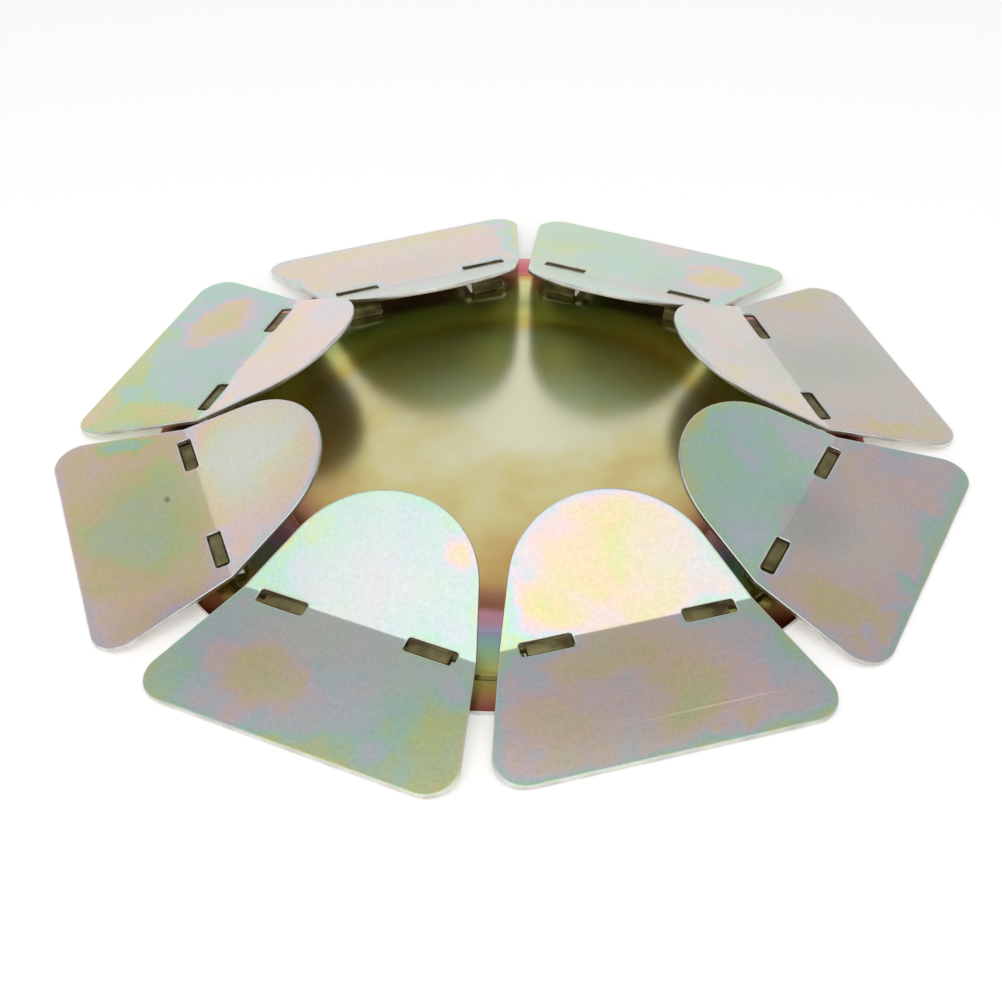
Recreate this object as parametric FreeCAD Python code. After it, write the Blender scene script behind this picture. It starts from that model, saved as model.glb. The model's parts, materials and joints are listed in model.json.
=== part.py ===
"""Folded-steel putting cup: one pressed base plate with sixteen bent-up lugs, and eight
bent flaps that rock on them. Millimetres, +Z up. The origin is the centre of the base
plate's underside, on the ground, and a gap between two flaps faces -Y.

A flap and its lugs are drawn in the flap's own frame: X points away from the cup's
centre, Y runs along the crease, and the crease's upper edge stands over the origin.
"""
import FreeCAD, Part
import math
import os
from FreeCAD import Placement, Rotation, Vector

# ---- driving dimensions ----
SHEET = 0.9              # thickness of the steel, plate and flaps alike
FLAP_COUNT = 8
CREASE_RADIUS = 60.6     # cup centre to a flap's crease

CREASE_HALF = 23.4       # half the flap's width along its crease
APRON_LENGTH = 27.1      # crease to outer edge, along the sheet
APRON_HALF = 32.6        # half the width at the outer edge, corners drawn sharp
APRON_CORNER = 5.5       # corner radius at the outer edge
APRON_SLOPE = 10.2       # degrees, down towards the ground
TONGUE_LENGTH = 26.1     # crease to tongue tip, along the sheet
TONGUE_RADIUS = 19.6     # of the tongue's round end
TONGUE_RISE = 28.1       # degrees, up towards the cup's centre
FOLD_RADIUS = 1.2        # of the crease, on the sheet's upper face

SLOT_LENGTH = 9.8
SLOT_WIDTH = 2.8
SLOT_CORNER = 0.6
SLOT_OFFSET = 15.0       # flap's middle to a slot's middle
SLOT_SHIFT = 0.75        # slot's middle, outwards from the crease

FLOOR_RADIUS = 46.2      # flat floor that the ball rests on
TERRACE_START = 53.4     # inner edge of the raised ring that carries the lugs
TERRACE_END = 64.0       # outer edge of that ring
TERRACE_RISE = 0.5
STEP_RUN = 0.7           # width of the step down to the rim
RIM_RADIUS = 72.2
PRESS_RADIUS = 1.0       # of the plate's pressed bends

LUG_OFFSET = 14.45       # flap's middle to a lug's middle, a little nearer than its slot
LUG_WIDTH = 7.2
LUG_FOOT = 4.0           # riser's foot, inwards from the crease
LUG_LEAN = 0.4           # how far the riser leans outwards
LUG_RISE = 2.3           # height of the riser
LUG_INNER_FOLD = 0.45    # bend radius inside a fold
SEAT_GAP = 0.12          # between a lug and the flap over it
TOE_LENGTH = 2.4         # part of the lug under the apron, outwards from the crease
TOE_WIDTH = 8.4
BOSS_START = -0.45       # boss in the slot, measured outwards from the crease
BOSS_END = 1.85
BOSS_DEPTH = 0.45        # boss's face, below the flap's upper face
EAR_WIDTH = 12.0         # shoulders that carry the crease past the slot's ends
EAR_START = 1.9          # from the crease inwards
EAR_END = 0.3
WINDOW_LENGTH = 8.4      # opening left where a lug was cut out
WINDOW_GAP = 0.3         # shear clearance on each side of a lug

# The flaps sit loose. For each one, counter-clockwise from -Y: turn in degrees about
# the crease's middle, slide along the crease, and shift away from the centre.
SEATS = [
    (-3.9, 1.0, -0.6),
    (-1.2, 1.2, -0.2),
    (-2.8, 0.4, 0.8),
    (0.5, -0.9, -1.0),
    (0.3, -0.6, -0.9),
    (4.9, -0.3, 0.6),
    (-0.5, -0.1, 0.9),
    (0.1, -0.3, 0.6),
]

slope = math.radians(APRON_SLOPE)
rise = math.radians(TONGUE_RISE)
# The outer edge's lower corner touches the ground, which sets the crease's height.
CREASE_HEIGHT = APRON_LENGTH * math.sin(slope) + SHEET * math.cos(slope)
TERRACE_TOP = TERRACE_RISE + SHEET


def rounded_wire(corners, closed):
    """Lines through (point, radius) corners, with an arc of that radius at each."""
    edges = []
    ends = []
    for i, (point, radius) in enumerate(corners):
        if not radius:
            ends.append((point, point))
            continue
        back = (corners[i - 1][0] - point).normalize()
        onward = (corners[(i + 1) % len(corners)][0] - point).normalize()
        half = back.getAngle(onward) / 2
        start = point + back * (radius / math.tan(half))
        end = point + onward * (radius / math.tan(half))
        middle = point + (back + onward).normalize() * (radius / math.sin(half) - radius)
        edges.append(Part.Arc(start, middle, end).toShape())
        ends.append((start, end))
    following = ends[1:] + ends[:1] if closed else ends[1:]
    for (_, leave), (arrive, _) in zip(ends, following):
        edges.append(Part.LineSegment(leave, arrive).toShape())
    return Part.Wire(Part.__sortEdges__(edges))


def outline(corners):
    """Closed face in XY through (x, y, radius) corners."""
    return Part.Face(rounded_wire([(Vector(x, y, 0), r) for x, y, r in corners], True))


def folded_strip(corners, width):
    """Sheet folded along Y: (x, z, radius) corners of its upper face, seen from -Y."""
    upper = rounded_wire([(Vector(x, 0, z), r) for x, z, r in corners], False)
    section = upper.makeOffset2D(-SHEET, 0, True, True)
    return section.translated(Vector(0, -width / 2, 0)).extrude(Vector(0, width, 0))


def along_sheet(distance, angle):
    """Point on a sheet's upper face, at a signed distance outwards from the crease."""
    return distance * math.cos(angle), -distance * math.sin(angle)


def cutter(face, angle):
    """The face swept square to a sheet that leans by angle, well past both its faces."""
    solid = face.translated(Vector(0, 0, -3 * SHEET)).extrude(Vector(0, 0, 6 * SHEET))
    return solid.rotated(Vector(), Vector(0, 1, 0), math.degrees(angle))


def apron_outline():
    """Outer half of a flap, widening outwards, with a square start inside the crease."""
    return outline([
        (-SHEET, -CREASE_HALF, 0), (0, -CREASE_HALF, 0),
        (APRON_LENGTH, -APRON_HALF, APRON_CORNER), (APRON_LENGTH, APRON_HALF, APRON_CORNER),
        (0, CREASE_HALF, 0), (-SHEET, CREASE_HALF, 0),
    ])


def tongue_outline():
    """Inner half of a flap: straight sides that run into a round tip."""
    centre = TONGUE_RADIUS - TONGUE_LENGTH
    spoke = math.atan2(CREASE_HALF, -centre)
    spoke += math.acos(TONGUE_RADIUS / math.hypot(centre, CREASE_HALF))
    touch = Vector(centre + TONGUE_RADIUS * math.cos(spoke), TONGUE_RADIUS * math.sin(spoke), 0)
    opposite = Vector(touch.x, -touch.y, 0)
    points = [opposite, Vector(0, -CREASE_HALF, 0), Vector(0, CREASE_HALF, 0), touch]
    edges = [Part.LineSegment(a, b).toShape() for a, b in zip(points, points[1:])]
    edges.append(Part.Arc(touch, Vector(-TONGUE_LENGTH, 0, 0), opposite).toShape())
    return Part.Face(Part.Wire(edges))


def slot_outline(y):
    """Punched slot, its middle at y along the crease."""
    x_low = SLOT_SHIFT - SLOT_WIDTH / 2
    x_high = SLOT_SHIFT + SLOT_WIDTH / 2
    y_low = y - SLOT_LENGTH / 2
    y_high = y + SLOT_LENGTH / 2
    return outline([(x_low, y_low, SLOT_CORNER), (x_high, y_low, SLOT_CORNER),
                    (x_high, y_high, SLOT_CORNER), (x_low, y_high, SLOT_CORNER)])


def flap():
    """One bent flap, its crease's upper edge along Y through the origin."""
    tip_x, tip_z = along_sheet(-TONGUE_LENGTH, rise)
    edge_x, edge_z = along_sheet(APRON_LENGTH, slope)
    sheet = folded_strip([(tip_x, tip_z, 0), (0, 0, FOLD_RADIUS), (edge_x, edge_z, 0)],
                         2 * APRON_HALF)
    blank = cutter(apron_outline(), slope).fuse(cutter(tongue_outline(), rise))
    solid = sheet.common(blank)
    for side in (-1, 1):
        solid = solid.cut(cutter(slot_outline(side * SLOT_OFFSET), slope))
    return solid.removeSplitter()


def lug(y):
    """Lug cut and bent up out of the base: riser, shoulders, toe, and a boss in the slot."""
    outer_fold = LUG_INNER_FOLD + SHEET
    knee = LUG_LEAN - LUG_FOOT
    depth = SHEET + SEAT_GAP
    ridge_x = -depth * math.sin(slope)
    ridge_z = CREASE_HEIGHT - depth * math.cos(slope)
    run, drop = along_sheet(TOE_LENGTH, slope)
    strip = folded_strip([
        (-LUG_FOOT - 1.5 * SHEET, TERRACE_TOP, 0),
        (-LUG_FOOT, TERRACE_TOP, LUG_INNER_FOLD),
        (knee, TERRACE_TOP + LUG_RISE, outer_fold),
        (ridge_x, ridge_z, outer_fold),
        (ridge_x + run, ridge_z + drop, 0),
    ], EAR_WIDTH)
    reach = 3 * LUG_FOOT
    riser = Part.makeBox(reach - EAR_START, LUG_WIDTH, reach, Vector(-reach, -LUG_WIDTH / 2, 0))
    ears = Part.makeBox(EAR_START - EAR_END, EAR_WIDTH, reach,
                        Vector(-EAR_START, -EAR_WIDTH / 2, 0))
    toe = Part.makeBox(reach, TOE_WIDTH, reach, Vector(-EAR_END, -TOE_WIDTH / 2, 0))
    bottom = depth + SHEET / 2
    boss = Part.makeBox(BOSS_END - BOSS_START, TOE_WIDTH, bottom - BOSS_DEPTH,
                        Vector(BOSS_START, -TOE_WIDTH / 2, -bottom))
    boss.rotate(Vector(), Vector(0, 1, 0), APRON_SLOPE)
    boss.translate(Vector(0, 0, CREASE_HEIGHT))
    solid = strip.common(riser.fuse([ears, toe])).fuse(boss).removeSplitter()
    return solid.translated(Vector(0, y, -CREASE_HEIGHT))


def window(y):
    """Opening that the cut-out lug leaves in the plate."""
    width = LUG_WIDTH + 2 * WINDOW_GAP
    start = Vector(SHEET - LUG_FOOT, y - width / 2, -CREASE_HEIGHT - SHEET)
    return Part.makeBox(WINDOW_LENGTH, width, TERRACE_TOP + 2 * SHEET, start)


def seat(number):
    """Placement of flap number's own frame; number counts from 0."""
    turn, slide, shift = SEATS[number]
    heading = -90 + (number + 0.5) * 360 / FLAP_COUNT
    local = Placement(Vector(shift, slide, 0), Rotation(Vector(0, 0, 1), turn))
    station = Placement(Vector(CREASE_RADIUS, 0, CREASE_HEIGHT), Rotation())
    return Placement(Vector(), Rotation(Vector(0, 0, 1), heading)) * station * local


def placed(shape, placement):
    """Copy of the shape, moved by the placement."""
    moved = shape.copy()
    moved.Placement = placement * moved.Placement
    return moved


def base_plate(lugs, windows):
    """Pressed round plate, turned about Z, with its lugs and their windows."""
    path = [
        (0, SHEET, 0),
        (FLOOR_RADIUS, SHEET, PRESS_RADIUS),
        (TERRACE_START, TERRACE_TOP, PRESS_RADIUS),
        (TERRACE_END, TERRACE_TOP, LUG_INNER_FOLD),
        (TERRACE_END + STEP_RUN, SHEET, LUG_INNER_FOLD),
        (RIM_RADIUS, SHEET, 0),
    ]
    upper = rounded_wire([(Vector(x, 0, z), r) for x, z, r in path], False)
    section = upper.makeOffset2D(-SHEET, 0, True, True)
    plate = section.revolve(Vector(), Vector(0, 0, 1), 360)
    return plate.cut(windows).fuse(lugs).removeSplitter()


def main():
    os.makedirs("parts", exist_ok=True)
    one_flap = flap()
    nodes = {}
    lugs = []
    windows = []
    for number in range(FLAP_COUNT):
        place = seat(number)
        nodes[f"flap_{number + 1}"] = placed(one_flap, place)
        for side in (-1, 1):
            lugs.append(placed(lug(side * LUG_OFFSET), place))
            windows.append(placed(window(side * LUG_OFFSET), place))
    nodes["base_plate"] = base_plate(lugs, windows)
    for name, shape in nodes.items():
        print(name, shape.isValid(), len(shape.Solids), round(shape.Volume, 1), shape.BoundBox)
        shape.exportStep(f"parts/{name}.step")


main()
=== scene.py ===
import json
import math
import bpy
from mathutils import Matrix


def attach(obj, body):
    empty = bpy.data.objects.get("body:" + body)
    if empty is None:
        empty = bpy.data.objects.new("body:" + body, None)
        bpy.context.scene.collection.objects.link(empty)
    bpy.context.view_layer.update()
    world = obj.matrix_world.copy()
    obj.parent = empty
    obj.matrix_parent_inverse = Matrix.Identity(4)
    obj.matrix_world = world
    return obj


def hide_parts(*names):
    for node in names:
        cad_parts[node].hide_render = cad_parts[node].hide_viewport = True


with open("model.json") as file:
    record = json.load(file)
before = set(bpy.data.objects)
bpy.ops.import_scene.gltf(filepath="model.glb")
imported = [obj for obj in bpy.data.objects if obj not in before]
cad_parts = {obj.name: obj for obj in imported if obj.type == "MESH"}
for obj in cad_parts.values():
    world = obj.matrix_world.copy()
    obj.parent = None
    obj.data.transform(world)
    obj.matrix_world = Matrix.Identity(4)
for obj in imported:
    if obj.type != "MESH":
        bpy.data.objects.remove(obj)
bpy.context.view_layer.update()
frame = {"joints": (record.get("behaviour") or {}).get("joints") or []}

# Putting cup: a pressed round plate with bent-up lugs, and eight folded flaps that rock on
# them, all of sheet steel with an iridescent passivated zinc plating. Shapes are made in
# millimetres and scaled to metres last. A flap is drawn in its own frame: X points away
# from the cup's centre, Y runs along the crease, and the crease's upper edge is at 0.
import types

import bmesh
import bpy
from bpy.props import FloatProperty, FloatVectorProperty, PointerProperty
from mathutils import Matrix, Vector, noise

bl_info = {
    "name": "Putting cup",
    "version": (1, 0, 0),
    "blender": (4, 5, 0),
    "location": "3D View > Sidebar > Putting cup",
    "description": "Builds a folded-steel putting cup with rocking flaps, and its studio",
    "category": "Add Mesh",
}


def linear(code):
    """Linear RGBA of an sRGB hex colour."""
    channels = [int(code[i:i + 2], 16) / 255 for i in (0, 2, 4)]
    return [c / 12.92 if c <= 0.04045 else ((c + 0.055) / 1.055) ** 2.4 for c in channels] + [1]


def length(name, millimetres, description):
    """A length in the sidebar, given in millimetres and kept in metres."""
    return FloatProperty(name=name, description=description, default=millimetres / 1000,
                         unit="LENGTH", precision=5)


def angle(name, degrees, description):
    """An angle in the sidebar, given in degrees and kept in radians."""
    return FloatProperty(name=name, description=description, default=math.radians(degrees),
                         subtype="ANGLE")


def colour(name, code, description):
    """A colour in the sidebar, given as sRGB hex and kept linear."""
    return FloatVectorProperty(name=name, description=description, default=linear(code),
                               subtype="COLOR", size=4, min=0, max=1)


class CupFlapSizes(bpy.types.PropertyGroup):
    """Sizes of one folded flap."""
    sheet: length("Sheet", 0.9, "Thickness of the steel")
    edge_round: length("Edge rounding", 0.2, "Radius left on the sheared edges by the plating")
    crease_half: length("Crease half", 23.4, "Half the width along the crease")
    apron_length: length("Apron length", 27.1, "Crease to outer edge")
    apron_half: length("Apron half", 32.6, "Half the width at the outer edge, corners sharp")
    apron_corner: length("Apron corner", 5.5, "Radius of the outer corners")
    apron_slope: angle("Apron slope", 10.2, "Down towards the ground")
    tongue_length: length("Tongue length", 26.1, "Crease to tongue tip")
    tongue_radius: length("Tongue radius", 19.6, "Radius of the tongue's round end")
    tongue_rise: angle("Tongue rise", 28.1, "Up towards the cup's centre")
    fold_radius: length("Fold radius", 1.2, "Bend radius of the crease's upper face")
    slot_length: length("Slot length", 9.8, "Along the crease")
    slot_width: length("Slot width", 2.8, "Across the crease")
    slot_corner: length("Slot corner", 0.6, "Radius of the slot's corners")
    slot_offset: length("Slot offset", 15.0, "Flap's middle to a slot's middle")
    slot_shift: length("Slot shift", 0.75, "Slot's middle, outwards from the crease")
    sag: length("Unevenness", 0.05, "How far the rolled sheet strays from flat")


class CupPlateSizes(bpy.types.PropertyGroup):
    """Sizes of the pressed base plate and its lugs."""
    floor_radius: length("Floor radius", 46.2, "Flat floor that the ball rests on")
    terrace_start: length("Terrace start", 53.4, "Inner edge of the raised ring")
    terrace_end: length("Terrace end", 64.0, "Outer edge of the raised ring")
    terrace_rise: length("Terrace rise", 0.5, "Height of the raised ring")
    step_run: length("Step run", 0.7, "Width of the step down to the rim")
    rim_radius: length("Rim radius", 72.2, "Radius of the whole plate")
    press_radius: length("Press radius", 1.0, "Radius of the plate's soft bends")
    fold_radius: length("Fold radius", 0.45, "Radius inside the lugs' folds")
    lug_offset: length("Lug offset", 14.45, "Flap's middle to a lug's middle")
    lug_width: length("Lug width", 7.2, "Width of a lug's riser")
    lug_foot: length("Lug foot", 4.0, "Riser's foot, inwards from the crease")
    lug_lean: length("Lug lean", 0.4, "How far the riser leans outwards")
    lug_rise: length("Lug rise", 2.3, "Height of the riser")
    seat_gap: length("Seat gap", 0.12, "Between a lug and the flap over it")
    toe_length: length("Toe length", 2.4, "Part of the lug under the apron")
    toe_width: length("Toe width", 8.4, "Width of that part and of its boss")
    boss_start: length("Boss start", -0.45, "Boss in the slot, outwards from the crease")
    boss_end: length("Boss end", 1.85, "Outer end of the boss")
    boss_depth: length("Boss depth", 0.45, "Boss's face, below the flap's upper face")
    ear_width: length("Ear width", 12.0, "Width across the lug's shoulders")
    ear_start: length("Ear start", 1.9, "Shoulders' inner side, inwards from the crease")
    ear_end: length("Ear end", 0.3, "Shoulders' outer side, inwards from the crease")
    window_length: length("Window length", 8.4, "Opening where the lug was cut out")
    window_gap: length("Window gap", 0.3, "Shear clearance beside a lug")


class CupColours(bpy.types.PropertyGroup):
    """Colours of the finishes and the studio."""
    straw: colour("Straw", "E2D49E", "Film colour, thinnest")
    peach: colour("Peach", "E8D0B0", "Film colour")
    rose: colour("Rose", "E8CDCC", "Film colour")
    lilac: colour("Lilac", "D7D0DB", "Film colour")
    sky: colour("Sky", "C6D5DA", "Film colour")
    teal: colour("Teal", "B6DCCB", "Film colour")
    leaf: colour("Leaf", "C3DDB4", "Film colour")
    lime: colour("Lime", "D1DB96", "Film colour, thickest")
    bloom: colour("Bloom", "D6D9CD", "Grey bloom on the flaps")
    edge: colour("Edge", "E3E1DB", "Zinc on the sheared edges")
    # Pale gold, gold and amber colour the floor; the deeper gold and amber are partly painted
    # shade and light bounced between the plate and the flaps.
    pale: colour("Pale gold", "DCDCBF", "Base plate's passivation, thinnest")
    gold: colour("Gold", "D3C88D", "Base plate's passivation")
    amber: colour("Amber", "C59A55", "Base plate's passivation, thickest")
    # Lug colours are painted shade: the lugs' olive zinc made dark for the shade in the slots
    # and under the flaps.
    lug: colour("Lug", "8F8860", "Crazed passivation on the lugs")
    lug_shade: colour("Dark lug", "5F5338", "Crazed passivation on the lugs, thickest")
    floor: colour("Floor", "F6F6F5", "Paper that the cup stands on")


def in_millimetres(group):
    """The group's values by name, with its lengths in millimetres."""
    values = {}
    for name in group.__annotations__:
        value = getattr(group, name)
        is_length = group.bl_rna.properties[name].unit == "LENGTH"
        values[name] = value * 1000 if is_length else value
    return types.SimpleNamespace(**values)


# ---- mesh helpers ----

def rounded_path(bm, corners, closed, chord=1.0):
    """Edges through (x, y, radius) corners in XY, with an arc of that radius at each."""
    points = [Vector((x, y, 0)) for x, y, _ in corners]
    ends = []
    for i, point in enumerate(points):
        radius = corners[i][2]
        if not radius:
            ends.append([bm.verts.new(point)] * 2)
            continue
        back = (points[i - 1] - point).normalized()
        onward = (points[(i + 1) % len(points)] - point).normalized()
        half = back.angle(onward) / 2
        centre = point + (back + onward).normalized() * (radius / math.sin(half))
        start = bm.verts.new(point + back * (radius / math.tan(half)))
        turn = math.copysign(math.pi - 2 * half, onward.cross(back).z)
        steps = max(4, math.ceil(abs(turn) * radius / chord))
        arc = bmesh.ops.spin(bm, geom=[start], cent=centre, axis=(0, 0, 1), angle=turn,
                             steps=steps, use_merge=False)
        ends.append([start, arc["geom_last"][0]])
    following = ends[1:] + ends[:1] if closed else ends[1:]
    for (_, leave), (arrive, _) in zip(ends, following):
        bm.edges.new((leave, arrive))


def halve_long_edges(bm, limit):
    """Halves edges until none is longer than the limit."""
    long_edges = bm.edges[:]
    while long_edges:
        long_edges = [edge for edge in bm.edges if edge.calc_length() > limit]
        bmesh.ops.subdivide_edges(bm, edges=long_edges, cuts=1)


def cut_plane(bm, faces, point, normal):
    """Cuts the faces where a plane meets them; returns the pieces."""
    geometry = {*faces}
    for face in faces:
        geometry.update(face.edges, face.verts)
    cut = bmesh.ops.bisect_plane(bm, geom=list(geometry), dist=0.02, plane_co=point,
                                 plane_no=normal)
    return [part for part in cut["geom"] if isinstance(part, bmesh.types.BMFace)]


def cut_lines(bm, faces, axis, stations):
    """Cuts the faces across X (axis 0) or Y (axis 1) at the stations; returns the pieces."""
    normal = Vector((0, 0, 0))
    normal[axis] = 1
    for station in stations:
        faces = cut_plane(bm, faces, normal * station, normal)
    return faces


def thicken(bm, sheet, edge_round):
    """Gives an open sheet its thickness, away from its normals, and rounds its sheared edges.

    The walls and the rounding become the second material."""
    kept = set(bm.faces)
    shell = bmesh.ops.solidify(bm, geom=bm.faces[:], thickness=sheet)["geom"]
    walls = set(bm.faces) - kept - set(shell)
    for wall in walls:
        wall.material_index = 1
    shear = {edge for wall in walls for edge in wall.edges
             if any(face not in walls for face in edge.link_faces)}
    shear = [edge for edge in bm.edges if edge in shear]
    bmesh.ops.bevel(bm, geom=shear, offset=edge_round, offset_type="OFFSET", segments=3,
                    profile=0.5, affect="EDGES", material=1)


def gather(bm, part):
    """Adds another bmesh to this one and frees it."""
    mesh = bpy.data.meshes.new("part")
    part.to_mesh(mesh)
    part.free()
    bm.from_mesh(mesh)
    bpy.data.meshes.remove(mesh)


def finish_piece(name, bm, body, stands_for, materials, placement=None):
    """Makes the bmesh a smooth object in metres that rides on the body."""
    to_metres = Matrix.Scale(0.001, 4)
    bm.transform((placement or Matrix()) @ to_metres)
    mesh = bpy.data.meshes.new(name)
    bm.to_mesh(mesh)
    bm.free()
    for material in materials:
        mesh.materials.append(material)
    mesh.shade_smooth()
    piece = bpy.data.objects.new(name, mesh)
    bpy.context.scene.collection.objects.link(piece)
    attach(piece, body)
    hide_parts(stands_for)
    return piece


# ---- where the flaps sit ----

def flap_placement(number, size):
    """Where flap number's own frame is, in metres, from its hinge: its crease's underside."""
    joint = frame["joints"][number - 1]
    axis = Vector(joint["axis"])
    heading = math.atan2(axis.x, -axis.y)
    half_bend = (size.tongue_rise - size.apron_slope) / 2
    lean = (size.tongue_rise + size.apron_slope) / 2
    through = size.sheet / 1000 / math.cos(half_bend)
    turn = Matrix.Rotation(heading, 4, "Z")
    upper = Vector((math.sin(lean), 0, math.cos(lean))) * through
    return Matrix.Translation(Vector(joint["pos_m"]) + turn @ upper) @ turn


def flap_frames(size):
    """Every flap's own frame, in millimetres."""
    frames = [flap_placement(number, size) for number in range(1, len(FILMS) + 1)]
    for place in frames:
        place.translation *= 1000
    return frames


# ---- flaps ----

def flap_outline(size):
    """Corners of the flat blank: apron, crease, and the tongue as one very round corner."""
    centre = size.tongue_length - size.tongue_radius
    reach = math.hypot(centre, size.crease_half)
    lean = math.atan2(size.crease_half, centre) + math.acos(size.tongue_radius / reach)
    lean -= math.pi / 2
    apex = -size.crease_half / math.tan(lean)
    return [
        (apex, 0, size.tongue_radius), (0, -size.crease_half, 0),
        (size.apron_length, -size.apron_half, size.apron_corner),
        (size.apron_length, size.apron_half, size.apron_corner), (0, size.crease_half, 0),
    ]


def slot_outline(size, side):
    """Corners of one punched slot."""
    x, y = size.slot_shift, side * size.slot_offset
    half_x, half_y = size.slot_width / 2, size.slot_length / 2
    return [(x + sx * half_x, y + sy * half_y, size.slot_corner)
            for sx, sy in ((-1, -1), (1, -1), (1, 1), (-1, 1))]


def flap_sheet(size, number):
    """One bent flap as a bmesh, with its distance to the nearest edge kept per vertex."""
    band = 0.5              # flat band kept along every edge for the rounding to sit in
    grid = 2.0
    bm = bmesh.new()
    rounded_path(bm, flap_outline(size), True)
    for side in (-1, 1):
        rounded_path(bm, slot_outline(size, side), True)
    halve_long_edges(bm, grid)
    bmesh.ops.triangle_fill(bm, use_beauty=True, use_dissolve=True, edges=bm.edges[:],
                            normal=(0, 0, 1))
    border = [vert.co.copy() for vert in bm.verts]
    rim = bmesh.ops.inset_region(bm, faces=bm.faces[:], thickness=band, use_boundary=True,
                                 use_even_offset=True)["faces"]
    inner = [face for face in bm.faces if face not in set(rim)]
    for axis, reach in ((0, size.apron_length), (1, size.apron_half)):
        count = math.ceil(reach / grid)
        stations = [grid * (i + 0.5) for i in range(-count, count)]
        inner = cut_lines(bm, inner, axis, stations)
    bend = size.tongue_rise - size.apron_slope
    tangent = size.fold_radius * math.tan(bend / 2)
    fold_steps = 4
    folds = [tangent * (2 * i / (fold_steps - 1) - 1) for i in range(fold_steps)]
    cut_lines(bm, bm.faces[:], 0, folds)
    near_edge = bm.verts.layers.float.new("edge_distance")
    for vert in bm.verts:
        vert[near_edge] = min((vert.co - point).length for point in border)
        fade = min(1, max(0, vert[near_edge] - band) / 4) * min(1, abs(vert.co.x) / 6)
        seed = Vector((vert.co.x / 17, vert.co.y / 17, number * 3.7))
        vert.co.z += size.sag * fade * noise.noise(seed)
    for line in folds:
        beyond = [vert for vert in bm.verts if vert.co.x < line - 0.01]
        bmesh.ops.rotate(bm, cent=(line, 0, 0), verts=beyond,
                         matrix=Matrix.Rotation(bend / fold_steps, 3, "Y"))
    bmesh.ops.rotate(bm, matrix=Matrix.Rotation(size.apron_slope, 3, "Y"), verts=bm.verts[:])
    bm.normal_update()
    thicken(bm, size.sheet, size.edge_round)
    return bm


# ---- base plate ----

def pressed_plate(size, sheet, places):
    """The round plate with its pressed ring and the lugs' windows."""
    bm = bmesh.new()
    top = sheet + size.terrace_rise
    rounded_path(bm, [
        (size.floor_radius / 2, sheet, 0),
        (size.floor_radius, sheet, size.press_radius),
        (size.terrace_start, top, size.press_radius),
        (size.terrace_end, top, size.fold_radius),
        (size.terrace_end + size.step_run, sheet, size.fold_radius),
        (size.rim_radius - 0.5, sheet, 0),
        (size.rim_radius, sheet, 0),
    ], False)
    bmesh.ops.rotate(bm, matrix=Matrix.Rotation(math.pi / 2, 3, "X"), verts=bm.verts[:])
    bmesh.ops.spin(bm, geom=bm.verts[:] + bm.edges[:], axis=(0, 0, 1), angle=2 * math.pi,
                   steps=256, use_merge=True)
    hub = [edge for edge in bm.edges if edge.is_boundary
           and edge.verts[0].co.xy.length < size.floor_radius]
    bmesh.ops.contextual_create(bm, geom=hub)
    faces = bm.faces[:]
    bmesh.ops.recalc_face_normals(bm, faces=faces)
    if faces[0].normal.z < 0:
        bmesh.ops.reverse_faces(bm, faces=faces)
    for place in places:
        for side in (-1, 1):
            cut_window(bm, size, sheet, place, side * size.lug_offset)
    bm.normal_update()
    return bm


def cut_window(bm, size, sheet, place, y):
    """Cuts the opening that a lug leaves; place is its flap's frame in millimetres."""
    x_low = sheet - size.lug_foot
    x_high = x_low + size.window_length
    half = size.lug_width / 2 + size.window_gap
    middle = place @ Vector(((x_low + x_high) / 2, y, 0))
    reach = 2 * size.window_length
    near = [face for face in bm.faces
            if (face.calc_center_median().xy - middle.xy).length < reach]
    for point, normal in (((x_low, y, 0), (1, 0, 0)), ((x_high, y, 0), (1, 0, 0)),
                          ((0, y - half, 0), (0, 1, 0)), ((0, y + half, 0), (0, 1, 0))):
        near = cut_plane(bm, near, place @ Vector(point), place.to_3x3() @ Vector(normal))
    to_place = place.inverted()
    inside = []
    for face in near:
        spot = to_place @ face.calc_center_median()
        if x_low < spot.x < x_high and abs(spot.y - y) < half:
            inside.append(face)
    bmesh.ops.delete(bm, geom=inside, context="FACES")


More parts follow.
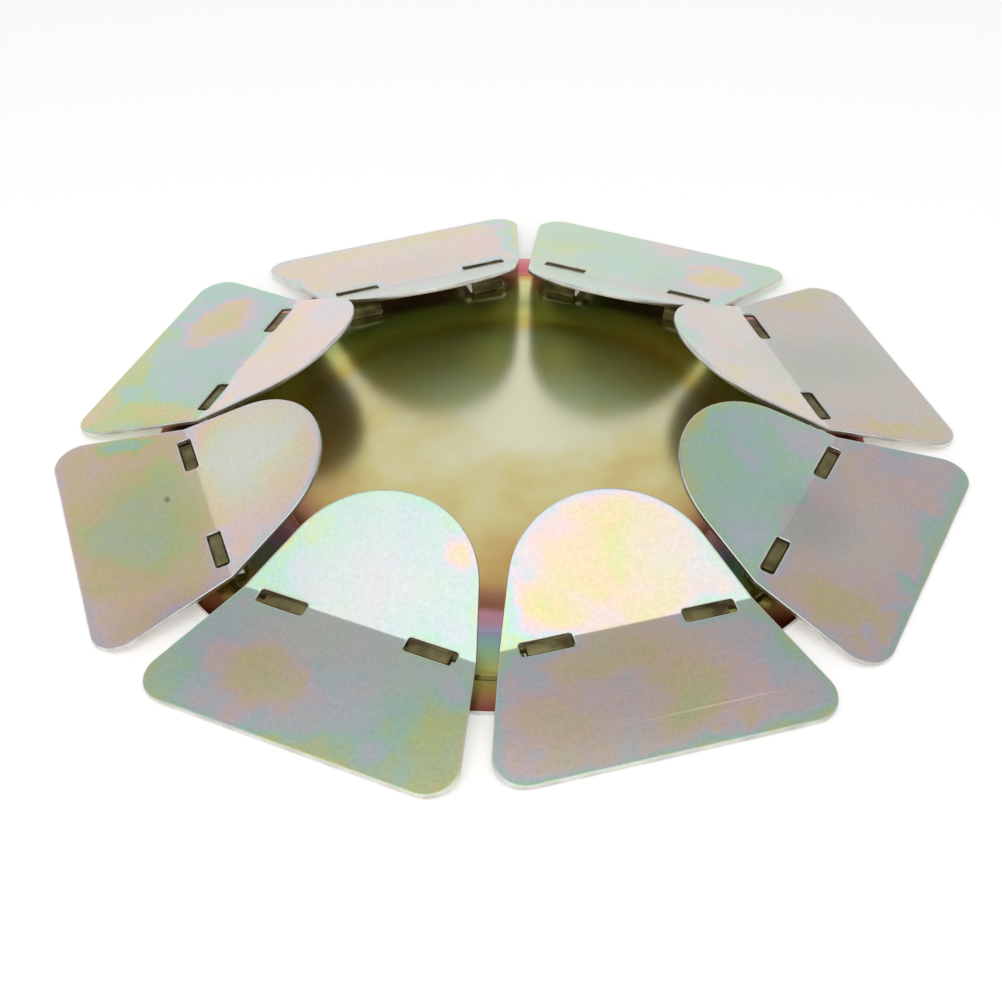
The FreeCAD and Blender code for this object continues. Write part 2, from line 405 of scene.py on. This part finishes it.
def plate_lug(size, flap, place, y):
    """One solid lug in its place: riser, shoulders, toe, and the boss that fills the slot."""
    bm = bmesh.new()
    crease_height = place.translation.z
    top = flap.sheet + size.terrace_rise
    outer_fold = size.fold_radius + flap.sheet
    depth = flap.sheet + size.seat_gap
    slope = flap.apron_slope
    ridge = Vector((-depth * math.sin(slope), crease_height - depth * math.cos(slope)))
    toe = ridge + size.toe_length * Vector((math.cos(slope), -math.sin(slope)))
    sunk = 0.03              # the foot lies just under the plate's face that it is cut from
    rounded_path(bm, [
        (-size.lug_foot - 1.5 * flap.sheet, top - sunk, 0),
        (-size.lug_foot, top - sunk, size.fold_radius),
        (size.lug_lean - size.lug_foot, top + size.lug_rise, outer_fold),
        (*ridge, outer_fold), (*toe, 0),
    ], False, chord=0.3)
    bmesh.ops.rotate(bm, matrix=Matrix.Rotation(math.pi / 2, 3, "X"), verts=bm.verts[:])
    strip = bmesh.ops.extrude_edge_only(bm, edges=bm.edges[:])["geom"]
    far = [part for part in strip if isinstance(part, bmesh.types.BMVert)]
    bmesh.ops.translate(bm, vec=(0, size.ear_width, 0), verts=far)
    bmesh.ops.translate(bm, vec=(0, -size.ear_width / 2, 0), verts=bm.verts[:])
    cut_lines(bm, bm.faces[:], 0, (-size.ear_start, -size.ear_end))
    widths = (size.lug_width / 2, size.toe_width / 2)
    cut_lines(bm, bm.faces[:], 1, [sign * width for width in widths for sign in (-1, 1)])
    spare = []
    for face in bm.faces:
        middle = face.calc_center_median()
        if middle.x < -size.ear_start:
            allowed = size.lug_width / 2
        elif middle.x < -size.ear_end:
            allowed = size.ear_width / 2
        else:
            allowed = size.toe_width / 2
        if abs(middle.y) > allowed:
            spare.append(face)
    bmesh.ops.delete(bm, geom=spare, context="FACES")
    bmesh.ops.recalc_face_normals(bm, faces=bm.faces[:])
    thicken(bm, flap.sheet, flap.edge_round / 2)
    gather(bm, slot_boss(size, flap, crease_height))
    bmesh.ops.translate(bm, vec=(0, y, -crease_height), verts=bm.verts[:])
    bm.transform(place)
    return bm


def slot_boss(size, flap, crease_height):
    """The half-pierced boss on a lug's toe, with rounded upper edges."""
    bm = bmesh.new()
    bmesh.ops.create_cube(bm, size=1)
    bottom = flap.sheet * 1.5 + size.seat_gap
    height = bottom - size.boss_depth
    width = size.boss_end - size.boss_start
    bmesh.ops.scale(bm, vec=(width, size.toe_width, height), verts=bm.verts[:])
    middle = Vector((size.boss_start + width / 2, 0, height / 2 - bottom))
    bmesh.ops.translate(bm, vec=middle, verts=bm.verts[:])
    bmesh.ops.bevel(bm, geom=bm.edges[:], offset=flap.edge_round, offset_type="OFFSET",
                    segments=3, profile=0.5, affect="EDGES", material=-1)
    bmesh.ops.rotate(bm, matrix=Matrix.Rotation(flap.apron_slope, 3, "Y"), verts=bm.verts[:])
    bmesh.ops.translate(bm, vec=(0, 0, crease_height), verts=bm.verts[:])
    return bm


# ---- materials ----

# Patterns are sized in cycles per millimetre. The rolling grain's lines are about 0.25 mm
# apart and 8 mm long on a flap, and 4 mm long on the plate. Real grain is too fine to show,
# so it is drawn this coarse.
FLAP_GRAIN = (4.0, 0.13, 1.0)
PLATE_GRAIN = (0.25, 4.0, 1.0)
FILM_CLOUDS = 0.12       # film clouds about 8 mm across
FILM_DRIFT = 0.11        # how fast the patches' outlines wander
DRIFT_REACH = 22         # millimetres between the ends of that wandering
BLOOM_CLOUDS = 0.07      # bloom about 14 mm across
SPECKS = 1.3             # specks under 1 mm across
PLATE_CLOUDS = 0.06      # the plate's film clouds, about 17 mm across
RING_START = 39.0        # radius where the plate's ring colours start
RING_END = 74.0          # and where they end, just past the rim


def add_node(tree, kind, inputs=None, stops=None, out=0, **settings):
    """Adds a node and returns its output; inputs maps a socket to a value or an output."""
    node = tree.nodes.new("ShaderNode" + kind)
    for name, value in settings.items():
        setattr(node, name, value)
    for name, value in (inputs or {}).items():
        if isinstance(value, bpy.types.NodeSocket):
            tree.links.new(value, node.inputs[name])
        else:
            node.inputs[name].default_value = value
    if stops:
        elements = node.color_ramp.elements
        while len(elements) < len(stops):
            elements.new(0.5)
        for element, (position, tint) in zip(elements, stops):
            element.position = position
            element.color = tint
    return node.outputs[out]


def new_material(name):
    """An empty node material and its tree."""
    material = bpy.data.materials.new(name)
    material.use_nodes = True
    tree = material.node_tree
    tree.nodes.clear()
    return material, tree


def rolled_grain(tree, position, stretch):
    """Fine straight grain of cold-rolled sheet, from 0 to 1; position is in millimetres."""
    lines = add_node(tree, "VectorMath", {0: position, 1: stretch}, operation="MULTIPLY")
    return add_node(tree, "TexNoise", {"Vector": lines, "Scale": 1.0, "Detail": 3.0,
                                       "Roughness": 0.6})


def soft_spots(tree, position, start, spots):
    """Adds to a value in soft round patches: (x, y, reach x, reach y, change) in millimetres,
    x outwards from the crease and y along it."""
    total = start
    for x, y, reach_x, reach_y, change in spots:
        offset = add_node(tree, "VectorMath", {0: position, 1: (x, y, 0)}, operation="SUBTRACT")
        offset = add_node(tree, "VectorMath", {0: offset, 1: (1 / reach_x, 1 / reach_y, 0)},
                          operation="MULTIPLY")
        distance = add_node(tree, "VectorMath", {0: offset}, operation="LENGTH", out=1)
        spot = add_node(tree, "MapRange", {"Value": distance, "From Min": 0.1, "From Max": 1.5,
                                           "To Min": change, "To Max": 0.0},
                        interpolation_type="SMOOTHERSTEP")
        total = add_node(tree, "Math", {0: total, 1: spot}, operation="ADD")
    return total


def wandering(tree, position):
    """The position, pushed about by a few millimetres so that patches lose their roundness."""
    drift = add_node(tree, "TexNoise", {"Vector": position, "Scale": FILM_DRIFT,
                                        "Detail": 3.0}, out=1)
    push = add_node(tree, "VectorMath", {0: drift, 1: (0.5, 0.5, 0.5)}, operation="SUBTRACT")
    push = add_node(tree, "VectorMath", {0: push, 1: (DRIFT_REACH, DRIFT_REACH, 0)},
                    operation="MULTIPLY")
    return add_node(tree, "VectorMath", {0: position, 1: push}, operation="ADD")


def film_thickness(tree, position, film):
    """The clear film's thickness in colour cycles, from a flap's own account of it."""
    wandered = wandering(tree, position)
    out = add_node(tree, "SeparateXYZ", {0: wandered})
    tongue = add_node(tree, "MapRange", {"Value": out, "From Min": 1.5, "From Max": -3.0,
                                         "To Min": film["level"], "To Max": film["tongue"]},
                      interpolation_type="SMOOTHSTEP")
    total = soft_spots(tree, wandered, tongue, film["spots"])
    cloud = add_node(tree, "TexNoise", {"Vector": position, "Scale": FILM_CLOUDS, "Detail": 5.0,
                                        "Roughness": 0.48})
    cloud = add_node(tree, "Math", {0: cloud, 1: 0.5}, operation="SUBTRACT")
    total = add_node(tree, "Math", {0: cloud, 1: 0.45, 2: total}, operation="MULTIPLY_ADD")
    edge = add_node(tree, "Attribute", attribute_name="edge_distance", out=2)
    reach = add_node(tree, "MapRange", {"Value": cloud, "From Min": -0.2, "From Max": 0.2,
                                        "To Min": 1.0, "To Max": 4.5})
    drained = add_node(tree, "MapRange", {"Value": edge, "From Min": 0.0, "From Max": reach,
                                          "To Min": film["edge"], "To Max": 0.0},
                       interpolation_type="SMOOTHSTEP")
    total = add_node(tree, "Math", {0: total, 1: drained}, operation="ADD")
    return add_node(tree, "Math", {0: total}, operation="FRACT")


def flap_position(tree, place):
    """Millimetres in the flap's own frame, from the piece's object coordinates."""
    where = add_node(tree, "TexCoord", out=3)
    return add_node(tree, "Mapping", {
        "Vector": where, "Location": place.translation, "Rotation": place.to_euler(),
        "Scale": (0.001, 0.001, 0.001)}, vector_type="TEXTURE")


def passivated_flap(name, place, film, colours):
    """Zinc-plated steel with a thin iridescent passivation: pastel bands over soft metal."""
    material, tree = new_material(name)
    position = flap_position(tree, place)
    thickness = film_thickness(tree, position, film)
    order = ("straw", "peach", "rose", "lilac", "sky", "teal", "leaf", "lime", "straw")
    places = (0.0, 0.13, 0.26, 0.38, 0.49, 0.62, 0.76, 0.89, 1.0)
    stops = [(place_on, getattr(colours, tint)) for place_on, tint in zip(places, order)]
    tint = add_node(tree, "ValToRGB", {"Fac": thickness}, stops=stops)
    # A thin grey bloom takes the strength out of the colours here and there.
    bloom = add_node(tree, "TexNoise", {"Vector": position, "Scale": BLOOM_CLOUDS,
                                        "Detail": 4.0})
    bloom = add_node(tree, "MapRange", {"Value": bloom, "From Min": 0.35, "From Max": 0.68,
                                        "To Min": film["bloom"] - 0.2,
                                        "To Max": film["bloom"] + 0.2})
    bloom = soft_spots(tree, wandering(tree, position), bloom, film["washed"])
    tint = add_node(tree, "Mix", {0: bloom, 6: tint, 7: colours.bloom}, data_type="RGBA", out=2)
    # Brightness patches: real stains, scratches and a nick, and painted shade, such as the
    # darker patch by flap 2's crease where the bent sheet reflects darker surroundings.
    stains_and_shade_level = soft_spots(tree, position, 1.0, film["stains_and_shade"])
    speck = add_node(tree, "TexNoise", {"Vector": position, "Scale": SPECKS, "Detail": 4.0,
                                        "Roughness": 0.7})
    speck = add_node(tree, "MapRange", {"Value": speck, "From Min": 0.25, "From Max": 0.75,
                                        "To Min": 0.93, "To Max": 1.11})
    grain = rolled_grain(tree, position, FLAP_GRAIN)
    shade = add_node(tree, "MapRange", {"Value": grain, "To Min": 0.98, "To Max": 1.05})
    shade = add_node(tree, "Math", {0: shade, 1: stains_and_shade_level}, operation="MULTIPLY")
    shade = add_node(tree, "Math", {0: shade, 1: speck}, operation="MULTIPLY")
    tint = add_node(tree, "VectorMath", {0: tint, 1: shade}, operation="MULTIPLY")
    gloss = add_node(tree, "MapRange", {"Value": grain, "To Min": 0.25, "To Max": 0.33})
    shader = add_node(tree, "BsdfPrincipled", {"Base Color": tint, "Metallic": 1.0,
                                               "Roughness": gloss})
    add_output(tree, shader)
    return material


def add_output(tree, shader):
    """Ends a material with its shader."""
    output = tree.nodes.new("ShaderNodeOutputMaterial")
    tree.links.new(shader, output.inputs["Surface"])


def sheared_edge(colours):
    """Zinc over a sheared and tumbled steel edge: bright, nearly colourless, soft gloss."""
    material, tree = new_material("bright_zinc_edge")
    where = add_node(tree, "TexCoord", out=3)
    wear = add_node(tree, "TexNoise", {"Vector": where, "Scale": 260.0, "Detail": 3.0})
    dull = [0.75 * channel for channel in colours.edge[:3]] + [1]
    tint = add_node(tree, "ValToRGB", {"Fac": wear},
                    stops=[(0.3, dull), (0.6, colours.edge)])
    gloss = add_node(tree, "MapRange", {"Value": wear, "To Min": 0.25, "To Max": 0.4})
    shader = add_node(tree, "BsdfPrincipled", {"Base Color": tint, "Metallic": 1.0,
                                               "Roughness": gloss})
    add_output(tree, shader)
    return material


def ring_film_and_reflection(tree, position, radius, cloud):
    """Colours of the plate's pressed ring by radius: stronger in front, paler behind, where the
    tilted ring reflects the brighter walls; the split between front and back is painted
    reflection.
    """
    along = add_node(tree, "MapRange", {"Value": radius, "From Min": RING_START,
                                        "From Max": RING_END})
    front = ((39, "B8985C"), (42, "A87A5A"), (46.5, "875642"), (48.5, "B07C88"),
             (51, "AC7F90"), (53.5, "9A93B0"), (56, "8BABB0"), (59, "93BA90"),
             (62.5, "B3B76A"), (66, "B09C54"), (69, "A8764E"), (72, "8E4C44"))
    # Behind, the paler colours and the yellow-green band on the inner ramp are painted
    # reflection of the bright walls.
    back = ((40, "C6C9AC"), (45, "CBB765"), (49, "D0C978"), (53, "AAB26E"), (57, "C9C98F"),
            (61, "D6CE8E"), (64, "C78C52"), (67, "C0606C"), (72, "D59494"))
    ramps = []
    for rings in (front, back):
        stops = [((place - RING_START) / (RING_END - RING_START), linear(tint))
                 for place, tint in rings]
        ramps.append(add_node(tree, "ValToRGB", {"Fac": along}, stops=stops))
    front, back = ramps
    across = add_node(tree, "SeparateXYZ", {0: position}, out=1)
    across = add_node(tree, "Math", {0: cloud, 1: 60.0, 2: across}, operation="MULTIPLY_ADD")
    backness = add_node(tree, "MapRange", {"Value": across, "From Min": -18.0,
                                           "From Max": 12.0})
    return add_node(tree, "Mix", {0: backness, 6: front, 7: back}, data_type="RGBA", out=2)


def floor_film_and_shade(tree, position, flat, colours):
    """Colours of the plate's floor: thinnest behind the middle, deeper towards the front; the
    deeper gold and amber towards the front and the rim are partly painted shade and light
    bounced between the plate and the flaps.
    """
    offset = add_node(tree, "VectorMath", {0: flat, 1: (4, 22, 0)}, operation="SUBTRACT")
    depth = add_node(tree, "VectorMath", {0: offset}, operation="LENGTH", out=1)
    patch = add_node(tree, "TexNoise", {"Vector": position, "Scale": PLATE_CLOUDS,
                                        "Detail": 4.0, "Roughness": 0.5})
    depth = add_node(tree, "Math", {0: patch, 1: 60.0, 2: depth}, operation="MULTIPLY_ADD")
    depth = add_node(tree, "MapRange", {"Value": depth, "From Min": 26.0, "From Max": 112.0})
    return add_node(tree, "ValToRGB", {"Fac": depth},
                    stops=[(0.22, colours.pale), (0.5, colours.gold), (0.82, colours.amber)])


def passivated_plate(colours):
    """Zinc-plated steel, yellow passivated: pale gold that turns rose, blue and green in the
    pressed ring, where the film dried thicker, with painted shade and reflection in the floor's
    and the ring's colours."""
    material, tree = new_material("gold_passivated_zinc")
    where = add_node(tree, "TexCoord", out=3)
    position = add_node(tree, "VectorMath", {0: where, "Scale": 1000.0}, operation="SCALE")
    flat = add_node(tree, "VectorMath", {0: position, 1: (1, 1, 0)}, operation="MULTIPLY")
    cloud = add_node(tree, "TexNoise", {"Vector": position, "Scale": PLATE_CLOUDS,
                                        "Detail": 4.0})
    cloud = add_node(tree, "Math", {0: cloud, 1: 0.5}, operation="SUBTRACT")
    true_radius = add_node(tree, "VectorMath", {0: flat}, operation="LENGTH", out=1)
    radius = add_node(tree, "Math", {0: cloud, 1: 5.0, 2: true_radius},
                      operation="MULTIPLY_ADD")
    ground = floor_film_and_shade(tree, position, flat, colours)
    ring = ring_film_and_reflection(tree, position, radius, cloud)
    outside = add_node(tree, "MapRange", {"Value": radius, "From Min": 36.0, "From Max": 43.0})
    tint = add_node(tree, "Mix", {0: outside, 6: ground, 7: ring}, data_type="RGBA", out=2)
    # The press line at the foot of the raised ring is darkened: a painted shadow of the step's
    # edge on the plate below it.
    line = add_node(tree, "Math", {0: true_radius, 1: 64.5, 2: 0.45}, operation="COMPARE")
    step_shadow = add_node(tree, "MapRange", {"Value": line, "To Min": 1.0, "To Max": 0.3})
    grain = rolled_grain(tree, position, PLATE_GRAIN)
    shade = add_node(tree, "MapRange", {"Value": grain, "To Min": 0.97, "To Max": 1.07})
    shade = add_node(tree, "Math", {0: shade, 1: step_shadow}, operation="MULTIPLY")
    tint = add_node(tree, "VectorMath", {0: tint, 1: shade}, operation="MULTIPLY")
    gloss = add_node(tree, "MapRange", {"Value": grain, "To Min": 0.19, "To Max": 0.27})
    relief = add_node(tree, "Bump", {"Height": grain, "Strength": 0.05, "Distance": 0.00002})
    shader = add_node(tree, "BsdfPrincipled", {"Base Color": tint, "Metallic": 1.0,
                                               "Roughness": gloss, "Normal": relief})
    add_output(tree, shader)
    return material


def shade_darkened_lug(colours):
    """The lugs' olive zinc, painted dark olive brown as the shade inside the slots and under the
    flaps, and only half glossy.
    """
    material, tree = new_material("crazed_olive_zinc")
    where = add_node(tree, "TexCoord", out=3)
    cloud = add_node(tree, "TexNoise", {"Vector": where, "Scale": 240.0, "Detail": 4.0})
    tint = add_node(tree, "ValToRGB", {"Fac": cloud},
                    stops=[(0.35, colours.lug), (0.65, colours.lug_shade)])
    gloss = add_node(tree, "MapRange", {"Value": cloud, "To Min": 0.38, "To Max": 0.55})
    shader = add_node(tree, "BsdfPrincipled", {"Base Color": tint, "Metallic": 1.0,
                                               "Roughness": gloss})
    add_output(tree, shader)
    return material


# Each flap's film: its level in colour cycles on the apron and on the tongue, its change at the
# edges, how much grey bloom lies on it, and then patches as in soft_spots: of the level,
# of the brightness (stains_and_shade: real stains, scratches and a nick, and painted shade such
# as the darker patch by flap 2's crease), and of the bloom (washed).
FILMS = [
    dict(level=0.30, tongue=0.22, edge=0.28, bloom=0.25,
         spots=[(17, 8, 9, 9, -0.36), (18, -18, 9, 8, -0.2), (5, -4, 5, 14, -0.24),
                (27, 0, 3, 40, 0.25), (12, 27, 20, 5, 0.2), (-9, -9, 6, 6, -0.2),
                (-15, 3, 7, 8, -0.24), (-4, 8, 5, 7, -0.2), (-8, -21, 16, 5, 0.4),
                (-6, 20, 16, 5, 0.14)],
         stains_and_shade=[(12, -8, 14, 22, -0.06), (19.3, 9, 0.16, 15, 0.3)],
         washed=[(24, -8, 4, 14, 0.3), (-10, 12, 14, 14, 0.3)]),
    dict(level=0.27, tongue=0.63, edge=0.16, bloom=0.25,
         spots=[(16, -20, 12, 6, -0.28), (26, 0, 3.5, 30, 0.36), (18, 26, 14, 6, 0.1),
                (4, -2, 8, 9, 0.06), (-6, 18, 9, 6, -0.2), (-8, -13, 8, 6, -0.1),
                (-24, 0, 3, 14, 0.24), (-15, 6, 5, 6, -0.12), (-16, -15, 5, 5, 0.16)],
         # The darker patch by the crease is painted shade.
         stains_and_shade=[(4, -2, 8, 10, -0.14), (12, -2, 10, 14, 0.04)],
         washed=[(8, -2, 9, 12, 0.4), (-13, 0, 11, 20, -0.2)]),
    dict(level=0.28, tongue=0.26, edge=0.1, bloom=0.6,
         spots=[(17, -24, 11, 5, -0.28), (17, 26, 12, 4, -0.24), (5, 0, 24, 9, 0.1),
                (-13, -11, 5, 5, -0.22), (-22, 2, 4, 12, 0.3)],
         stains_and_shade=[(8, 0, 20, 10, -0.06)],
         washed=[(10, 0, 24, 10, 0.3), (14, -25, 10, 5, -0.3)]),
    dict(level=0.64, tongue=0.55, edge=0.1, bloom=0.45,
         spots=[(13, -17, 10, 8, -0.66), (23, -3, 6, 7, -0.38), (11, 21, 10, 8, 0.16),
                (-5, -8, 10, 12, -0.28)],
         stains_and_shade=[(2, -10, 10, 8, -0.04)],
         washed=[(13, -17, 9, 9, -0.2), (-8, 8, 12, 14, 0.3)]),
    dict(level=0.24, tongue=0.5, edge=0.3, bloom=0.45,
         spots=[(14, -28, 20, 5, 0.4), (23, 0, 5, 30, -0.14), (10, 24, 12, 5, -0.1)],
         stains_and_shade=[(6, 0, 9, 20, -0.04)],
         washed=[(14, -18, 9, 6, -0.3)]),
    dict(level=0.56, tongue=0.24, edge=0.1, bloom=0.25,
         spots=[(14, -14, 9, 10, -0.56), (13, 24, 22, 6, 0.36), (25, 8, 4, 24, 0.3),
                (-5, -5, 5, 7, -0.14), (-16, -14, 8, 8, 0.1), (5, 22, 8, 6, 0.1)],
         stains_and_shade=[],
         washed=[(-10, 0, 10, 14, 0.15)]),
    dict(level=1.12, tongue=1.26, edge=0.2, bloom=0.15,
         spots=[(13, 3, 13, 18, -0.3), (13, -26, 6, 5, -0.5), (5, -13, 5, 8, -0.16),
                (20, 22, 12, 8, 0.08), (-11, -4, 12, 16, -0.34)],
         stains_and_shade=[(14, 0, 12, 22, -0.06), (10, 27, 12, 6, -0.12), (7, -4, 0.6, 1.0, -0.5),
                 (-11, -4, 12, 15, 0.1)],
         washed=[(-11, -4, 11, 14, 1.0), (13, 3, 9, 14, 0.3)]),
    dict(level=0.46, tongue=0.52, edge=0.16, bloom=0.25,
         spots=[(15, -11, 9, 9, -0.46), (23, -27, 8, 6, 0.24), (19, 25, 11, 8, 0.42),
                (8, 15, 7, 7, 0.18), (26, 5, 4, 12, 0.34), (-12, -19, 12, 5, 0.24),
                (-19, 15, 6, 6, -0.4), (-8, 0, 8, 8, -0.06)],
         stains_and_shade=[(12, -16, 12, 14, -0.04)],
         washed=[(5, -2, 6, 22, 0.45), (-9, 0, 11, 14, 0.35)]),
]


# ---- operators ----

class CUP_OT_base_plate(bpy.types.Operator):
    """Press the round base plate, with the windows its lugs were cut from"""
    bl_idname = "cup.base_plate"
    bl_label = "Base plate"

    def execute(self, context):
        flap = in_millimetres(context.scene.cup_flap)
        plate = in_millimetres(context.scene.cup_plate)
        colours = context.scene.cup_colours
        bm = pressed_plate(plate, flap.sheet, flap_frames(flap))
        thicken(bm, flap.sheet, flap.edge_round / 2)
        for vert in bm.verts:
            vert.co.z = max(vert.co.z, 0)       # the plate's underside is flat where it stands
        finish_piece("pressed_plate", bm, "base", "base_plate",
                     [passivated_plate(colours), sheared_edge(colours)])
        return {"FINISHED"}


class CUP_OT_lugs(bpy.types.Operator):
    """Bend up the sixteen lugs that carry the flaps"""
    bl_idname = "cup.lugs"
    bl_label = "Lugs"

    def execute(self, context):
        flap = in_millimetres(context.scene.cup_flap)
        plate = in_millimetres(context.scene.cup_plate)
        all_lugs = bmesh.new()
        for place in flap_frames(flap):
            for side in (-1, 1):
                gather(all_lugs, plate_lug(plate, flap, place, side * plate.lug_offset))
        finish = shade_darkened_lug(context.scene.cup_colours)
        finish_piece("plate_lugs", all_lugs, "base", "base_plate",
                     [finish, finish])
        return {"FINISHED"}


class CUP_OT_flaps(bpy.types.Operator):
    """Fold the eight flaps and give each its own drift of film colours"""
    bl_idname = "cup.flaps"
    bl_label = "Flaps"

    def execute(self, context):
        size = in_millimetres(context.scene.cup_flap)
        colours = context.scene.cup_colours
        edge = bpy.data.objects["pressed_plate"].data.materials[1]
        for number, film in enumerate(FILMS, 1):
            place = flap_placement(number, size)
            finish = passivated_flap(f"iridescent_zinc_{number}", place, film, colours)
            finish_piece(f"flap_{number}_sheet", flap_sheet(size, number), f"flap_{number}",
                         f"flap_{number}", [finish, edge], place)
        return {"FINISHED"}


class CUP_OT_studio(bpy.types.Operator):
    """Set out the pale floor, the soft lights and the camera"""
    bl_idname = "cup.studio"
    bl_label = "Studio"

    def execute(self, context):
        scene = context.scene
        lay_floor(scene)
        light_studio(scene)
        aim_camera(scene)
        return {"FINISHED"}


# ---- studio ----

def lay_floor(scene):
    """Pale paper under the cup, evenly lit from all round so that it hardly shows shadows."""
    material, tree = new_material("pale_paper")
    where = add_node(tree, "TexCoord", out=3)
    fibre = add_node(tree, "TexNoise", {"Vector": where, "Scale": 700.0, "Detail": 2.0})
    colours = scene.cup_colours
    faint = [0.97 * channel for channel in colours.floor[:3]] + [1]
    tint = add_node(tree, "ValToRGB", {"Fac": fibre}, stops=[(0.3, faint), (0.7, colours.floor)])
    shader = add_node(tree, "BsdfPrincipled", {
        "Base Color": tint, "Roughness": 0.9, "Emission Color": colours.floor,
        "Emission Strength": 0.3})
    add_output(tree, shader)
    bm = bmesh.new()
    bmesh.ops.create_grid(bm, x_segments=1, y_segments=1, size=3)
    mesh = bpy.data.meshes.new("floor")
    bm.to_mesh(mesh)
    bm.free()
    mesh.materials.append(material)
    floor = bpy.data.objects.new("floor", mesh)
    scene.collection.objects.link(floor)


def hang_softbox(scene, name, place, aim, width, depth, brightness):
    """A soft panel light; brightness is what a mirror would show of it."""
    light = bpy.data.lights.new(name, "AREA")
    light.shape = "RECTANGLE"
    light.size, light.size_y = width, depth
    light.energy = brightness * math.pi * width * depth
    lamp = bpy.data.objects.new(name, light)
    lamp.location = place
    lamp.rotation_euler = (Vector(aim) - Vector(place)).to_track_quat("-Z", "Y").to_euler()
    scene.collection.objects.link(lamp)


def light_studio(scene):
    """White walls that darken upwards, a wide softbox in front and a small one behind."""
    world = bpy.data.worlds.new("studio_walls")
    world.use_nodes = True
    tree = world.node_tree
    tree.nodes.clear()
    direction = add_node(tree, "TexCoord")
    height = add_node(tree, "SeparateXYZ", {0: direction}, out=2)
    side = add_node(tree, "SeparateXYZ", {0: direction})
    walls = ((0.0, 0.97), (0.19, 0.94), (0.37, 0.80), (0.6, 0.53), (0.9, 0.38))
    glow = add_node(tree, "ValToRGB", {"Fac": height},
                    stops=[(rise, (level, level, level, 1)) for rise, level in walls])
    bias = add_node(tree, "Math", {0: side, 1: -0.14, 2: 1.0}, operation="MULTIPLY_ADD")
    background = add_node(tree, "Background", {"Color": glow, "Strength": bias})
    output = tree.nodes.new("ShaderNodeOutputWorld")
    tree.links.new(background, output.inputs["Surface"])
    scene.world = world
    hang_softbox(scene, "overhead_softbox", (0, -0.31, 0.55), (0, -0.31, 0), 0.84, 0.76, 0.95)
    hang_softbox(scene, "back_softbox", (-0.04, 0.72, 0.52), (0, 0, 0), 0.4, 0.44, 0.4)
    scene.view_settings.view_transform = "Standard"


def aim_camera(scene):
    """Camera in front, looking down at about 40 degrees and turned a little about its axis."""
    eye = Vector((0.0171, -0.2642, 0.2102))
    target = Vector((-0.0006, -0.0156, 0))
    roll = math.radians(-1.51)
    data = bpy.data.cameras.new("camera")
    data.lens = 59.7
    data.sensor_width = 36
    camera = bpy.data.objects.new("camera", data)
    aim = (target - eye).to_track_quat("-Z", "Y").to_matrix().to_4x4()
    camera.matrix_world = Matrix.Translation(eye) @ aim @ Matrix.Rotation(roll, 4, "Z")
    scene.collection.objects.link(camera)
    scene.camera = camera


# ---- sidebar and start ----

class CUP_PT_sidebar(bpy.types.Panel):
    """Lists the cup's parts and their sizes"""
    bl_idname = "CUP_PT_sidebar"
    bl_label = "Putting cup"
    bl_space_type = "VIEW_3D"
    bl_region_type = "UI"
    bl_category = "Putting cup"

    def draw(self, context):
        for operator in OPERATORS:
            self.layout.operator(operator.bl_idname)
        for group in GROUPS:
            values = getattr(context.scene, group)
            for name in values.__annotations__:
                self.layout.prop(values, name)


GROUPS = {"cup_flap": CupFlapSizes, "cup_plate": CupPlateSizes, "cup_colours": CupColours}
OPERATORS = (CUP_OT_base_plate, CUP_OT_lugs, CUP_OT_flaps, CUP_OT_studio)


def register():
    for made in (*GROUPS.values(), *OPERATORS, CUP_PT_sidebar):
        bpy.utils.register_class(made)
    for name, group in GROUPS.items():
        setattr(bpy.types.Scene, name, PointerProperty(type=group))


def unregister():
    for name in GROUPS:
        delattr(bpy.types.Scene, name)
    for made in (CUP_PT_sidebar, *reversed(OPERATORS), *GROUPS.values()):
        bpy.utils.unregister_class(made)


def main():
    register()
    bpy.ops.cup.base_plate()
    bpy.ops.cup.lugs()
    bpy.ops.cup.flaps()
    bpy.ops.cup.studio()


if __name__ == "__main__":
    main()
